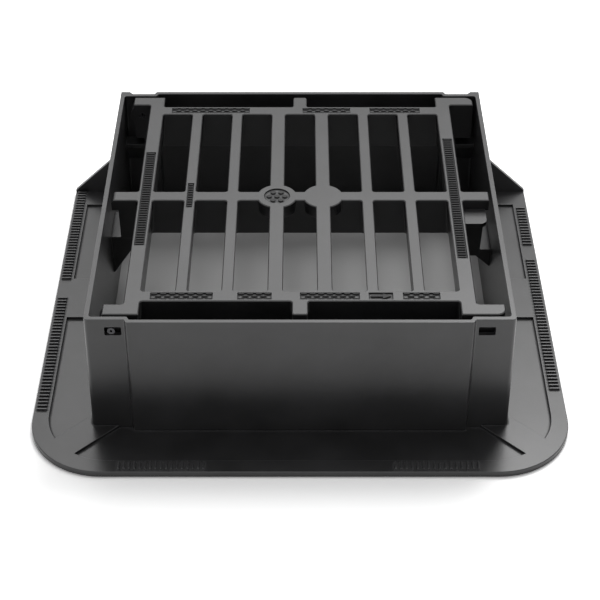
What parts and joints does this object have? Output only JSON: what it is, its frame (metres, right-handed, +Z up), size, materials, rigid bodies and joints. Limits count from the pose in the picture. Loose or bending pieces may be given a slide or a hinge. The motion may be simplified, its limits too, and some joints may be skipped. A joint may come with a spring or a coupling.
{
  "type": "gully grate",
  "caption": "Square road gully top: a deep flanged frame set against a kerb, with a slotted grate that hinges up along one side on two spring pins.",
  "frame": {"origin": "middle of the frame's footprint on its bed, at the underside of the flange", "axes": "+X along the kerb in the direction of the traffic, +Y towards the kerb, +Z up"},
  "size_m": [0.568, 0.5094, 0.15],
  "materials": {
    "coated_iron_frame": "ductile iron in a thin satin black coating over fine cast grain",
    "coated_iron_grate": "ductile iron in a thin satin black coating over fine cast grain",
    "pin_steel": "plain rolled spring steel, dull"
  },
  "bodies": {
    "frame_body": {"frame": "coated_iron_frame"},
    "grate_body": {"grate": "coated_iron_grate", "hinge_pin_front": "pin_steel", "hinge_pin_rear": "pin_steel"}
  },
  "joints": [
    {"name": "grate_hinge", "type": "hinge", "parent": "frame_body", "child": "grate_body", "pos_m": [-0.1902, 0.0328, 0.1349], "axis": [0, -1, 0], "range_deg": [0, 105]}
  ]
}
